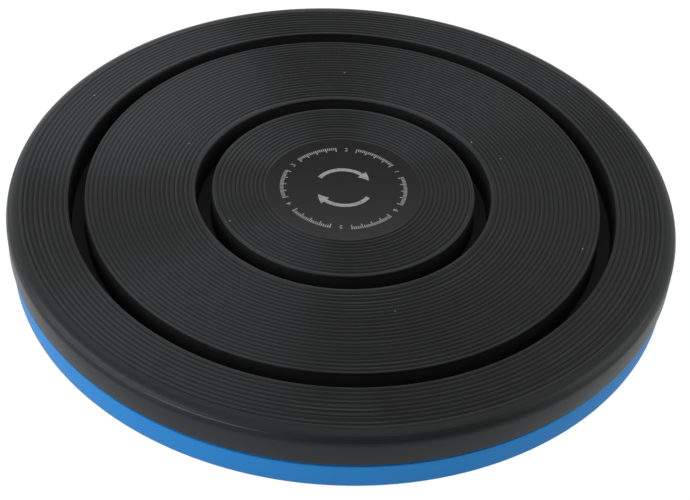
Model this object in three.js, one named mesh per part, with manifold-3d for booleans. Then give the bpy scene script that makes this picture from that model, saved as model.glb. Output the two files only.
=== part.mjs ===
// A waist twisting disc: a black tread plate that turns on a ring of steel balls over a blue base plate.
// Millimetres, +Z up, the axis of the twist on the Z axis and the floor at height zero.

import * as THREE from "three";
import { mergeVertices, toCreasedNormals } from "three/addons/utils/BufferGeometryUtils.js";
import Module from "manifold-3d";

const wasm = await Module();
wasm.setup();

// Overall sizes
const discRadius = 125;
const shellHeight = 12.6;
const shadowGap = 2.1;
const baseHeight = 9.8;
const baseInset = 1;
const footProud = 0.8;

// Top plate: a moulded shell with two deep ring channels
const treadWall = 2.5;
const skirtWall = 2.4;
const skirtBevel = 0.4;
const rimRounding = 4.4;
const innerChannelRadius = 52.45;
const innerChannelWidth = 6.15;
const outerChannelInset = 25.7;
const outerChannelWidth = 6;
const channelDepth = 11.75;
const channelDraft = 0.25;
const channelLip = 0.5;
const channelWall = 1.9;
const channelBed = 2;
const treadRibWall = 1.6;
const treadRibDrop = 5;
const bossRadius = 8.5;
const spigotRadius = 5;

// Balls, the tracks they roll in and the cage that spaces them
const ballRadius = 3;
const ballClearance = 0.15;
const trackDepth = 1.55;
const trackRoof = 1.8;
const cageThickness = 2.2;
const cageWidth = 12;
const pocketClearance = 0.25;

// Base plate: an open tray with a hub, a raised ball track and a lip that stands up inside the skirt
const baseFloor = 3;
const baseBevel = 0.7;
const baseEdge = 0.3;
const baseLipWall = 1.8;
const baseLipRise = 4.9;
const baseLipGap = 0.7;
const baseRibWall = 1.6;
const baseRibRise = 3;
const trackLandWidth = 12;
const wellRadius = 13;
const hubWall = 2.4;
const webThickness = 2.4;
const pocketDepth = 1;
const pocketSpoke = 7;
const pocketMargin = 6;

// Feet
const footRadius = 8;
const footSink = 0.9;
const footBevel = 0.5;
const footSideGap = 0.3;
const footTopGap = 0.3;

// Pivot: bush, screw, washers and threaded insert
const bushWall = 1.2;
const bushFlange = 1;
const bushFlangeRadius = 10;
const bushClearance = 0.15;
const headRecess = 0.7;
const headRadius = 4.4;
const headHeight = 2.4;
const headRounding = 0.9;
const driveWidth = 1;
const driveLength = 4.6;
const driveDepth = 1.3;
const shankRadius = 2.5;
const shankLength = 11;
const shankPoint = 0.8;
const lockWasherRadius = 4.6;
const lockWasherThickness = 1.1;
const lockWasherSplit = 0.8;
const flatWasherRadius = 9.5;
const flatWasherThickness = 1.2;
const washerClearance = 0.3;
const insertRadius = 3.5;
const insertLength = 8.5;
const insertInset = 0.5;
const insertGroove = 0.35;
const insertHoleSpare = 1;
const threadGap = 0.1;

// Gaps between pieces, and the overrun that carries a cut or a joined rib past a face
const seatGap = 0.15;
const stackGap = 0.1;
const runningGap = 0.3;
const overrun = 0.8;

// Counts
const ballCount = 24;
const footCount = 6;
const pocketCount = 6;
const innerRibCount = 6;
const outerRibCount = 12;
const plateSides = 72;
const boreSides = 24;
const ballSides = 10;
const cagePocketSides = 12;
const ballRings = 6;
const grooveSteps = 5;
const rimSteps = 4;
const sectorSteps = 8;
const insertBands = 5;
const creaseAngle = Math.PI / 6;

// Radii that follow from the sizes
const baseRadius = discRadius - baseInset;
const trackRadius = discRadius - outerChannelInset;
const bushRadius = spigotRadius + bushClearance + bushWall;
const hubRadius = wellRadius + hubWall;
const baseLipRadius = discRadius - skirtWall - baseLipGap;
const baseInsideRadius = baseLipRadius - baseLipWall;
const innerTroughHalf = innerChannelWidth / 2 + channelWall;
const outerTroughHalf = outerChannelWidth / 2 + channelWall;

// Heights above the floor, from the feet up
const baseUnderside = footProud;
const rimHeight = baseUnderside + baseHeight;
const skirtHeight = rimHeight + shadowGap;
const treadHeight = skirtHeight + shellHeight;
const trackReach = ballRadius + ballClearance;
const ballHeight = treadHeight - channelDepth - trackRoof - trackReach;
const landOffset = trackReach - trackDepth;
const headBottom = baseUnderside + headRecess;
const headTop = headBottom + headHeight;
const lockWasherHeight = headTop + stackGap;
const flatWasherHeight = lockWasherHeight + lockWasherThickness + stackGap;
const spigotEnd = flatWasherHeight + flatWasherThickness + stackGap;
const webUnder = spigotEnd + runningGap;
const webTop = webUnder + webThickness;
const bushFlangeHeight = webTop + stackGap;
const bossShoulder = bushFlangeHeight + bushFlange + runningGap;
const insertHeight = spigotEnd + insertInset;
const insertHoleTop = insertHeight + insertLength + insertHoleSpare;

// Finishes
const blackPlastic = { color: 0x303235, roughness: 0.5, metalness: 0 };
const bluePlastic = { color: 0x2f80ba, roughness: 0.45, metalness: 0 };
const whiteNylon = { color: 0xe6e4dc, roughness: 0.55, metalness: 0 };
const blackRubber = { color: 0x1c1c1d, roughness: 0.9, metalness: 0 };
const ballSteel = { color: 0xc9ccd0, roughness: 0.15, metalness: 1 };
const zincSteel = { color: 0xb4b8bc, roughness: 0.35, metalness: 1 };
const brass = { color: 0xb9953f, roughness: 0.35, metalness: 1 };

// A three.js geometry as a closed solid that can be joined and cut
function solid(geometry) {
  const bare = geometry.index ? geometry.toNonIndexed() : geometry.clone();
  bare.deleteAttribute("normal");
  bare.deleteAttribute("uv");
  const merged = mergeVertices(bare);
  const corners = merged.index.array;
  const faces = [];
  for (let i = 0; i < corners.length; i += 3) {
    const [a, b, c] = corners.subarray(i, i + 3);
    if (a !== b && b !== c && c !== a) faces.push(a, b, c);
  }
  const vertProperties = merged.attributes.position.array;
  const triVerts = new Uint32Array(faces);
  return new wasm.Manifold(new wasm.Mesh({ numProp: 3, vertProperties, triVerts }));
}

// A solid as a named mesh, its small bevels and curves shaded smooth
function namedMesh(name, shape, finish) {
  const { vertProperties, triVerts } = shape.getMesh();
  const geometry = new THREE.BufferGeometry();
  geometry.setAttribute("position", new THREE.BufferAttribute(vertProperties, 3));
  geometry.setIndex(new THREE.BufferAttribute(triVerts, 1));
  const material = new THREE.MeshStandardMaterial(finish);
  const mesh = new THREE.Mesh(toCreasedNormals(geometry, creaseAngle), material);
  mesh.name = name;
  return mesh;
}

// A profile of [radius, height] points turned about the Z axis, listed with the solid on its left
function turned(profile, sides) {
  const points = profile.map(([radius, height]) => new THREE.Vector2(radius, height));
  const geometry = new THREE.LatheGeometry(points, sides);
  geometry.rotateX(Math.PI / 2);
  return solid(geometry);
}

// An upright cylinder that stands on the given height
function cylinder(radius, height, bottom, sides) {
  const geometry = new THREE.CylinderGeometry(radius, radius, height, sides);
  geometry.rotateX(Math.PI / 2);
  geometry.translate(0, 0, bottom + height / 2);
  return solid(geometry);
}

// A radial rib between two radii and two heights, at an angle about the Z axis
function radialRib(from, to, bottom, top, wall, angle) {
  const geometry = new THREE.BoxGeometry(to - from, wall, top - bottom);
  geometry.translate((from + to) / 2, 0, (bottom + top) / 2);
  geometry.rotateZ(angle);
  return solid(geometry);
}

// The angles of a ring of equally spaced places, moved on by a share of one space
function ringAngles(count, shiftShare = 0) {
  return Array.from({ length: count }, (_, i) => ((i + shiftShare) / count) * Math.PI * 2);
}

// The points of a groove's arc round the ball, across the track: side 1 is over the ball and -1 is under it
function grooveArc(height, side) {
  const half = Math.acos(landOffset / trackReach);
  return Array.from({ length: grooveSteps + 1 }, (_, i) => {
    const angle = side * half * (1 - (2 * i) / grooveSteps);
    return [trackRadius + trackReach * Math.sin(angle), height + side * trackReach * Math.cos(angle)];
  });
}

// The rim's rounded edge, from the tread out and down to the skirt
function rimArc() {
  return Array.from({ length: rimSteps + 1 }, (_, i) => {
    const angle = (Math.PI / 2) * (1 - i / rimSteps);
    const across = rimRounding * Math.cos(angle);
    return [discRadius - rimRounding + across, rimRounding * Math.sin(angle) - rimRounding];
  });
}

// One ring channel in the tread, with broken lips and a little draft, from its inner lip to its outer one
function channelCut(radius, width) {
  const inner = radius - width / 2;
  const outer = radius + width / 2;
  return [
    [inner - channelLip, 0],
    [inner, -channelLip],
    [inner + channelDraft, -channelDepth],
    [outer - channelDraft, -channelDepth],
    [outer, -channelLip],
    [outer + channelLip, 0],
  ];
}

// Top plate, measured down from the tread at height zero
function topPlate() {
  const under = -treadWall;
  const land = ballHeight + landOffset - treadHeight;
  const innerBed = -channelDepth - channelBed;
  const shell = turned(
    [
      [0, under],
      [innerChannelRadius - innerTroughHalf, under],
      [innerChannelRadius - innerTroughHalf, innerBed],
      [innerChannelRadius + innerTroughHalf, innerBed],
      [innerChannelRadius + innerTroughHalf, under],
      [trackRadius - outerTroughHalf, under],
      [trackRadius - outerTroughHalf, land],
      ...grooveArc(ballHeight - treadHeight, 1).reverse(),
      [trackRadius + outerTroughHalf, land],
      [trackRadius + outerTroughHalf, under],
      [discRadius - skirtWall, under],
      [discRadius - skirtWall, -shellHeight],
      [discRadius - skirtBevel, -shellHeight],
      [discRadius, skirtBevel - shellHeight],
      ...rimArc().reverse(),
      ...channelCut(trackRadius, outerChannelWidth).reverse(),
      ...channelCut(innerChannelRadius, innerChannelWidth).reverse(),
      [0, 0],
    ],
    plateSides,
  );

  const boss = turned(
    [
      [0, insertHoleTop - treadHeight],
      [insertRadius + seatGap, insertHoleTop - treadHeight],
      [insertRadius + seatGap, spigotEnd - treadHeight],
      [spigotRadius, spigotEnd - treadHeight],
      [spigotRadius, bossShoulder - treadHeight],
      [bossRadius, bossShoulder - treadHeight],
      [bossRadius, under + overrun],
      [0, under + overrun],
    ],
    boreSides,
  );

  const ribTop = under + overrun;
  const ribFoot = under - treadRibDrop;
  const spans = [
    [bossRadius, innerChannelRadius - innerTroughHalf, innerRibCount, 0],
    [innerChannelRadius + innerTroughHalf, trackRadius - outerTroughHalf, outerRibCount, 0],
    [trackRadius + outerTroughHalf, discRadius - skirtWall, outerRibCount, 0.5],
  ];
  let plate = shell.add(boss);
  for (const [inner, outer, count, shiftShare] of spans) {
    for (const angle of ringAngles(count, shiftShare)) {
      const rib = radialRib(inner - overrun, outer + overrun, ribFoot, ribTop, treadRibWall, angle);
      plate = plate.add(rib);
    }
  }
  return plate;
}

// A cutter for one sunk panel of the base's underside, a sector of a ring
function undersidePocket(angle) {
  const inner = hubRadius + pocketMargin;
  const outer = trackRadius - footRadius - pocketMargin;
  const halfPitch = Math.PI / pocketCount;
  const innerHalf = halfPitch - pocketSpoke / 2 / inner;
  const outerHalf = halfPitch - pocketSpoke / 2 / outer;
  const outline = new THREE.Shape();
  outline.absarc(0, 0, outer, angle - outerHalf, angle + outerHalf, false);
  outline.absarc(0, 0, inner, angle + innerHalf, angle - innerHalf, true);
  outline.closePath();
  const geometry = new THREE.ExtrudeGeometry(outline, {
    depth: pocketDepth + overrun,
    bevelEnabled: false,
    curveSegments: sectorSteps,
  });
  geometry.translate(0, 0, -overrun);
  return solid(geometry);
}

// Base plate, measured up from its own underside at height zero
function basePlate() {
  const land = ballHeight - landOffset - baseUnderside;
  const trackBall = ballHeight - baseUnderside;
  const web = webUnder - baseUnderside;
  const hubTop = webTop - baseUnderside;
  const tray = turned(
    [
      [wellRadius, 0],
      [baseRadius - baseBevel, 0],
      [baseRadius, baseBevel],
      [baseRadius, baseHeight - baseEdge],
      [baseRadius - baseEdge, baseHeight],
      [baseLipRadius, baseHeight],
      [baseLipRadius, baseHeight + baseLipRise],
      [baseInsideRadius, baseHeight + baseLipRise],
      [baseInsideRadius, baseFloor],
      [trackRadius + trackLandWidth / 2, baseFloor],
      [trackRadius + trackLandWidth / 2, land],
      ...grooveArc(trackBall, -1).reverse(),
      [trackRadius - trackLandWidth / 2, land],
      [trackRadius - trackLandWidth / 2, baseFloor],
      [wellRadius, baseFloor],
      [wellRadius, 0],
    ],
    plateSides,
  );

  const hub = turned(
    [
      [bushRadius + seatGap, web],
      [wellRadius, web],
      [wellRadius, baseFloor / 2],
      [hubRadius, baseFloor / 2],
      [hubRadius, hubTop],
      [bushRadius + seatGap, hubTop],
      [bushRadius + seatGap, web],
    ],
    plateSides,
  );

  let plate = tray.add(hub);
  const ribFoot = baseFloor - overrun;
  const ribTop = baseFloor + baseRibRise;
  const spans = [
    [hubRadius, trackRadius - trackLandWidth / 2, 0],
    [trackRadius + trackLandWidth / 2, baseInsideRadius, 0.5],
  ];
  for (const [inner, outer, shiftShare] of spans) {
    for (const angle of ringAngles(outerRibCount, shiftShare)) {
      const rib = radialRib(inner - overrun, outer + overrun, ribFoot, ribTop, baseRibWall, angle);
      plate = plate.add(rib);
    }
  }
  for (const angle of ringAngles(pocketCount, 0.5)) {
    plate = plate.subtract(undersidePocket(angle));
  }
  const seatRadius = footRadius + footSideGap;
  const seatDepth = footSink + footTopGap;
  const footSeat = cylinder(seatRadius, seatDepth + overrun, -overrun, boreSides);
  for (const angle of ringAngles(footCount)) {
    const x = trackRadius * Math.cos(angle);
    const y = trackRadius * Math.sin(angle);
    plate = plate.subtract(footSeat.translate([x, y, 0]));
  }
  return plate;
}

// Rubber foot, standing on the floor
function foot() {
  return turned(
    [
      [0, 0],
      [footRadius - footBevel, 0],
      [footRadius, footBevel],
      [footRadius, footProud + footSink],
      [0, footProud + footSink],
    ],
    boreSides,
  );
}

// Steel ball, centred on the origin
function ball() {
  const geometry = new THREE.SphereGeometry(ballRadius, ballSides, ballRings);
  geometry.rotateX(Math.PI / 2);
  return solid(geometry);
}

// Ball cage: a flat ring with one round pocket for each ball, centred on the balls' height
function ballCage() {
  const half = cageThickness / 2;
  let ring = turned(
    [
      [trackRadius - cageWidth / 2, -half],
      [trackRadius + cageWidth / 2, -half],
      [trackRadius + cageWidth / 2, half],
      [trackRadius - cageWidth / 2, half],
      [trackRadius - cageWidth / 2, -half],
    ],
    plateSides,
  );
  const pocketHeight = cageThickness + overrun * 2;
  const pocket = cylinder(ballRadius + pocketClearance, pocketHeight, -pocketHeight / 2, cagePocketSides);
  for (const angle of ringAngles(ballCount)) {
    const x = trackRadius * Math.cos(angle);
    const y = trackRadius * Math.sin(angle);
    ring = ring.subtract(pocket.translate([x, y, 0]));
  }
  return ring;
}

// Flanged bush in the hub's web, measured from the underside of its flange
function pivotBush() {
  const bore = spigotRadius + bushClearance;
  const sleeve = webThickness + stackGap;
  return turned(
    [
      [bore, -sleeve],
      [bushRadius, -sleeve],
      [bushRadius, 0],
      [bushFlangeRadius, 0],
      [bushFlangeRadius, bushFlange],
      [bore, bushFlange],
      [bore, -sleeve],
    ],
    boreSides,
  );
}

// Centre screw, measured from under its head, with a cross-shaped drive
function centreScrew() {
  const blank = turned(
    [
      [0, -headHeight],
      [headRadius - headRounding, -headHeight],
      [headRadius, headRounding - headHeight],
      [headRadius, 0],
      [shankRadius, 0],
      [shankRadius, shankLength - shankPoint],
      [shankRadius - shankPoint, shankLength],
      [0, shankLength],
    ],
    boreSides,
  );
  const slot = new THREE.BoxGeometry(driveLength, driveWidth, driveDepth + overrun);
  slot.translate(0, 0, (driveDepth - overrun) / 2 - headHeight);
  const crossSlot = slot.clone().rotateZ(Math.PI / 2);
  return blank.subtract(solid(slot)).subtract(solid(crossSlot));
}

// Flat washer, standing on height zero
function flatWasher() {
  const bore = shankRadius + washerClearance;
  return turned(
    [
      [bore, 0],
      [flatWasherRadius, 0],
      [flatWasherRadius, flatWasherThickness],
      [bore, flatWasherThickness],
      [bore, 0],
    ],
    boreSides,
  );
}

// Split lock washer, standing on height zero
function lockWasher() {
  const bore = shankRadius + washerClearance;
  const middle = (bore + lockWasherRadius) / 2;
  const half = lockWasherSplit / 2 / middle;
  const outline = new THREE.Shape();
  outline.absarc(0, 0, lockWasherRadius, half, Math.PI * 2 - half, false);
  outline.absarc(0, 0, bore, Math.PI * 2 - half, half, true);
  outline.closePath();
  const geometry = new THREE.ExtrudeGeometry(outline, {
    depth: lockWasherThickness,
    bevelEnabled: false,
    curveSegments: boreSides,
  });
  return solid(geometry);
}

// Threaded insert with two grooves that lock it in the boss, standing on height zero
function threadedInsert() {
  const bore = shankRadius + threadGap;
  const band = insertLength / insertBands;
  const waist = insertRadius - insertGroove;
  return turned(
    [
      [bore, 0],
      [insertRadius, 0],
      [insertRadius, band],
      [waist, band],
      [waist, band * 2],
      [insertRadius, band * 2],
      [insertRadius, band * 3],
      [waist, band * 3],
      [waist, band * 4],
      [insertRadius, band * 4],
      [insertRadius, insertLength],
      [bore, insertLength],
      [bore, 0],
    ],
    boreSides,
  );
}

// The half that stays on the floor
const base = new THREE.Group();
const basePlateMesh = namedMesh("base_plate", basePlate(), bluePlastic);
basePlateMesh.position.z = baseUnderside;
base.add(basePlateMesh);
ringAngles(footCount).forEach((angle, i) => {
  const mesh = namedMesh(`foot_${i + 1}`, foot(), blackRubber);
  mesh.position.set(trackRadius * Math.cos(angle), trackRadius * Math.sin(angle), 0);
  base.add(mesh);
});
const bushMesh = namedMesh("pivot_bush", pivotBush(), whiteNylon);
bushMesh.position.z = bushFlangeHeight;
base.add(bushMesh);

// The ring of balls, which turns at half the top's speed
const bearing = new THREE.Group();
bearing.position.z = ballHeight;
bearing.add(namedMesh("ball_cage", ballCage(), whiteNylon));
ringAngles(ballCount).forEach((angle, i) => {
  const number = String(i + 1).padStart(2, "0");
  const mesh = namedMesh(`ball_${number}`, ball(), ballSteel);
  mesh.position.set(trackRadius * Math.cos(angle), trackRadius * Math.sin(angle), 0);
  mesh.rotation.z = angle;
  bearing.add(mesh);
});

// The half that turns, with the screw that holds it down
const turntable = new THREE.Group();
const topPlateMesh = namedMesh("top_plate", topPlate(), blackPlastic);
topPlateMesh.position.z = treadHeight;
turntable.add(topPlateMesh);
const insertMesh = namedMesh("threaded_insert", threadedInsert(), brass);
insertMesh.position.z = insertHeight;
turntable.add(insertMesh);
const flatWasherMesh = namedMesh("flat_washer", flatWasher(), zincSteel);
flatWasherMesh.position.z = flatWasherHeight;
turntable.add(flatWasherMesh);
const lockWasherMesh = namedMesh("lock_washer", lockWasher(), zincSteel);
lockWasherMesh.position.z = lockWasherHeight;
turntable.add(lockWasherMesh);
const screwMesh = namedMesh("centre_screw", centreScrew(), zincSteel);
screwMesh.position.z = headTop;
turntable.add(screwMesh);

const waistTwistingDisc = new THREE.Group();
waistTwistingDisc.add(base, bearing, turntable);

export default waistTwistingDisc;
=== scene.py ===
# %% [markdown]
# # A waist twisting disc
#
# The real thing is a round board to stand on. A black tread plate turns on a ring of steel balls over
# a blue base plate with rubber feet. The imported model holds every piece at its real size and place,
# with its joints. This lesson gives each piece its visible surface and its finish, and then sets up
# the floor, the light and the camera.
#
# The first cell loads that model. Its pieces stay where they are, and what is made below takes its
# main sizes from them, so nothing has to be fitted afterwards. Lengths are in metres.

import math

import bpy
import numpy as np
from mathutils import Matrix, Vector


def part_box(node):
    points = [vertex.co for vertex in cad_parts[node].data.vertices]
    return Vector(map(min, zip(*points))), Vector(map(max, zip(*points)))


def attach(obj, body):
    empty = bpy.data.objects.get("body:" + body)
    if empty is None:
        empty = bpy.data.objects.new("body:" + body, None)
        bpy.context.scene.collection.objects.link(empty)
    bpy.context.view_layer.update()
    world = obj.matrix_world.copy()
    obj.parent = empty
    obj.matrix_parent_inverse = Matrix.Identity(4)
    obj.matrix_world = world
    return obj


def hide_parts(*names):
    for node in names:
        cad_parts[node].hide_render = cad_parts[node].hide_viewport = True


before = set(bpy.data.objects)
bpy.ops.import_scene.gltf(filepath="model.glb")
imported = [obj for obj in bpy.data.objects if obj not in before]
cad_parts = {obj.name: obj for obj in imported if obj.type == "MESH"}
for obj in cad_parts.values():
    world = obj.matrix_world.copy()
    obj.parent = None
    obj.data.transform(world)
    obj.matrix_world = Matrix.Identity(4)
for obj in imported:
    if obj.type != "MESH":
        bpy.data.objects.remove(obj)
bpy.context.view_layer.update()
scene = bpy.context.scene
print("pieces in the packed model:", len(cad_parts))

# %% [markdown]
# ## The camera
#
# The camera could be moved about by eye until the picture looks right. Here it was worked out
# instead. The disc's circles appear as ellipses, and only one place, one lens and one tilt turn
# circles of these sizes into those ellipses. It comes first, because every later choice is judged in
# its picture. It looks along +Y, dips by its pitch, and then rolls a little about its line of sight.

# %% Camera
camera_lens = 80.728
camera_film = 36
camera_place = (0.00199, -0.44934, 0.39537)
camera_pitch = math.radians(41.7871)
camera_roll = math.radians(3.6402)


def new_object(name, data):
    """An object that holds some data and is part of the scene."""
    made = bpy.data.objects.new(name, data)
    scene.collection.objects.link(made)
    return made


camera = new_object("camera", bpy.data.cameras.new("camera"))
camera.data.sensor_width = camera_film
camera.data.lens = camera_lens
tilt = Matrix.Rotation(math.pi / 2 - camera_pitch, 4, "X")
camera.matrix_world = Matrix.Translation(camera_place) @ tilt @ Matrix.Rotation(camera_roll, 4, "Z")
scene.camera = camera
print("lens", camera_lens, "mm, pitch", round(math.degrees(camera_pitch), 2), "degrees")

# %% [markdown]
# ## Surfaces from arrays
#
# Nearly every piece of a turntable is round, so it could be spun from an outline with a modifier.
# Working the points out with numpy gives the same shape in one step and keeps each size in sight. A
# surface is a grid of points: one direction follows the outline and the other goes round the axis.
# The cell below turns such a grid into a closed skin. Points that fall together, as where an outline
# meets the axis, become one point, and the faces are made to point outwards.

# %% From a grid of points to a closed skin
weld_distance = 1e-7


def skin(grid, closed_rows=False):
    """Points and triangles of a grid whose columns close on themselves. Two triangles fill each cell.

    The sum of a . (b x c) / 6 over the triangles is the volume inside, which is above zero when
    the faces point outwards. Otherwise each triangle is listed the other way round.
    """
    rows, columns, _ = grid.shape
    row = np.arange(rows if closed_rows else rows - 1)[:, None]
    column = np.arange(columns)[None, :]
    next_row, next_column = (row + 1) % rows, (column + 1) % columns
    a = row * columns + column
    b = row * columns + next_column
    c = next_row * columns + next_column
    d = next_row * columns + column
    halves = [np.stack(corners, axis=-1).reshape(-1, 3) for corners in ((a, b, c), (a, c, d))]
    faces = np.concatenate(halves)
    points = grid.reshape(-1, 3)
    keys = np.round(points / weld_distance).astype(np.int64)
    _, first, same = np.unique(keys, axis=0, return_index=True, return_inverse=True)
    points, faces = points[first], same.reshape(-1)[faces]
    i, j, k = faces.T
    faces = faces[(i != j) & (j != k) & (k != i)]
    a, b, c = points[faces].transpose(1, 0, 2)
    volume = np.einsum("ij,ij->", a, np.cross(b, c)) / 6
    return points, faces if volume > 0 else faces[:, ::-1]


def ring_angles(count, shift_share=0.0):
    """Equally spaced angles round the axis, moved on by a share of one space."""
    return (np.arange(count) + shift_share) * 2 * math.pi / count


def around(radius, angle, height):
    """A grid of points round the axis: x = radius cos a, y = radius sin a, z = height."""
    return np.stack(np.broadcast_arrays(radius * np.cos(angle), radius * np.sin(angle), height), axis=-1)


def turned(profile, sides, closed=False):
    """A profile of radius and height turned about Z, with a column of points for each side."""
    radius, height = np.array(profile, float).T[:, :, None]
    return skin(around(radius, ring_angles(sides), height), closed_rows=closed)


def swept(sections):
    """A closed section carried along a path, one row of points for each place on it.

    A fan closes each end: its middle is the mean of the end section's points.
    """
    ends = np.repeat(sections[[0, -1]].mean(axis=1, keepdims=True), sections.shape[1], axis=1)
    return skin(np.concatenate([ends[:1], sections, ends[1:]]))


def layered(layers):
    """A solid through flat layers, each given by its corners (x, y) and its height."""
    return swept(np.array([np.column_stack([corners, np.full(len(corners), height)])
                           for corners, height in layers]))


def together(shapes):
    """Several skins as one. Each skin's face numbers move up by the points that come before it."""
    starts = np.cumsum([0] + [len(points) for points, _ in shapes])
    points = np.concatenate([points for points, _ in shapes])
    return points, np.concatenate([faces + start for (_, faces), start in zip(shapes, starts)])


def moved(shape, x=0.0, y=0.0, z=0.0, angle=0.0):
    """A skin turned about Z by an angle and then moved."""
    points, faces = shape
    turn = np.array(Matrix.Rotation(angle, 3, "Z"))
    return points @ turn.T + (x, y, z), faces


print("test skin:", [len(part) for part in turned([(0, 0), (1, 0), (0, 1)], 12)], "points and faces")

# %% [markdown]
# ## Rounded corners
#
# A moulded or turned piece has no truly sharp corner. A Bevel modifier could round them, but it
# would round all edges of a piece alike. Here each corner of an outline has a rounding of its own,
# and the corner is swapped for an arc before the outline is turned.

# %% Outlines with rounded corners
def rounded(corners, steps=4, closed=False):
    """Swaps each corner (x, y, rounding) of an outline for an arc that touches both of its sides.

    With half the corner's angle h, the arc starts rounding / tan h along each side, and its centre
    lies rounding / sin h along the line that halves the corner.
    """
    corners = np.array(corners, float)
    place, rounding = corners[:, :2], corners[:, 2]
    before, after = np.roll(place, 1, axis=0) - place, np.roll(place, -1, axis=0) - place
    before = before / np.linalg.norm(before, axis=1, keepdims=True)
    after = after / np.linalg.norm(after, axis=1, keepdims=True)
    half = np.arccos(np.clip((before * after).sum(axis=1), -1, 1)) / 2
    middle = before + after
    middle = middle / np.maximum(np.linalg.norm(middle, axis=1, keepdims=True), weld_distance)
    centre = place + middle * (rounding / np.sin(half))[:, None]
    start = place + before * (rounding / np.tan(half))[:, None] - centre
    stop = place + after * (rounding / np.tan(half))[:, None] - centre
    from_angle = np.arctan2(start[:, 1], start[:, 0])
    turn = np.arctan2(stop[:, 1], stop[:, 0]) - from_angle
    turn = (turn + math.pi) % (2 * math.pi) - math.pi
    angle = from_angle[:, None] + turn[:, None] * np.linspace(0, 1, steps + 1)
    arc = centre[:, None] + rounding[:, None, None] * np.stack([np.cos(angle), np.sin(angle)], axis=-1)
    arc[rounding == 0] = place[rounding == 0, None]
    if not closed:
        arc[[0, -1]] = place[[0, -1], None]
    line = arc.reshape(-1, 2)
    gap = np.linalg.norm(line - np.roll(line, 1, axis=0), axis=1)
    return line[gap > weld_distance]


def rounded_box(left, right, low, high, rounding, steps=4):
    """A closed rectangle with all four corners rounded alike."""
    corners = [(left, low), (right, low), (right, high), (left, high)]
    return rounded([(*corner, rounding) for corner in corners], steps, closed=True)


print("a square with rounded corners has", len(rounded_box(0, 1, 0, 1, 0.1)), "points")

# %% [markdown]
# ## From skins to pieces
#
# Ribs, panels and pockets are joined to a turned body or cut from it. They could be left as separate
# skins that run into each other, which looks the same from outside, but a joined body is one clean
# solid. A Boolean modifier does it, and its result is kept as the mesh. The `piece` function then
# makes the object, smooths its round faces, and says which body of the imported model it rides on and
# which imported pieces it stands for.

# %% Joining, cutting and placing pieces
crease_angle = math.radians(32)


def mesh_of(name, shape):
    """A Blender mesh with a skin's points and triangles."""
    mesh = bpy.data.meshes.new(name)
    points, faces = shape
    mesh.from_pydata(points.tolist(), [], faces.tolist())
    return mesh


def settled_mesh(holder):
    """The mesh of an object with its modifiers applied, or of a text."""
    bpy.context.view_layer.update()
    return bpy.data.meshes.new_from_object(holder.evaluated_get(bpy.context.evaluated_depsgraph_get()))


def carved(name, shape, added=(), removed=()):
    """A skin with other skins joined to it and then others cut from it, as one mesh."""
    blank = new_object(name, mesh_of(name, shape))
    tools = []
    for operation, shapes in (("UNION", added), ("DIFFERENCE", removed)):
        for other in shapes:
            tool = new_object("tool", mesh_of("tool", other))
            step = blank.modifiers.new(operation, "BOOLEAN")
            step.operation, step.solver, step.object = operation, "MANIFOLD", tool
            tools.append(tool)
    mesh = settled_mesh(blank)
    for spent in [blank, *tools]:
        bpy.data.objects.remove(spent)
    return mesh


def piece(name, form, body, finish, stands_for=()):
    """Makes an object of a skin or a mesh, gives it its finish and hangs it on a body."""
    mesh = form if isinstance(form, bpy.types.Mesh) else mesh_of(name, form)
    mesh.name = name
    mesh.shade_smooth()
    mesh.set_sharp_from_angle(angle=crease_angle)
    mesh.materials.clear()
    mesh.materials.append(finish)
    made = new_object(name, mesh)
    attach(made, body)
    if stands_for:
        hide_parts(*stands_for)
    mesh.calc_loop_triangles()
    print(f"{name}: {len(mesh.loop_triangles)} triangles on {body}")


# %% [markdown]
# ## Shader maths in Python
#
# A finish is a network of nodes. They could be placed by hand in the Shader Editor. Here a small
# class wraps the output of a node, so that `grain * 0.1 + 0.4` adds the Math nodes by itself and a
# finish reads like a formula. `node` adds any other kind of node: its settings come first, because
# they decide which sockets it has, and then the values or links of its sockets.

# %% Sockets that take part in sums
class Socket:
    """The output of a node. A sum, product or comparison with it adds a Math node to its network."""

    def __init__(self, network, out):
        self.network, self.out = network, out

    def maths(self, operation, *values):
        """Adds a Math node for an operation on values or sockets."""
        return self.network.node("ShaderNodeMath", {"operation": operation}, dict(enumerate(values)))

    def __add__(self, other):
        return self.maths("ADD", self, other)

    def __sub__(self, other):
        return self.maths("SUBTRACT", self, other)

    def __rsub__(self, other):
        return self.maths("SUBTRACT", other, self)

    def __mul__(self, other):
        return self.maths("MULTIPLY", self, other)

    def __lt__(self, other):
        return self.maths("LESS_THAN", self, other)

    def __gt__(self, other):
        return self.maths("GREATER_THAN", self, other)

    __radd__, __rmul__ = __add__, __mul__


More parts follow.
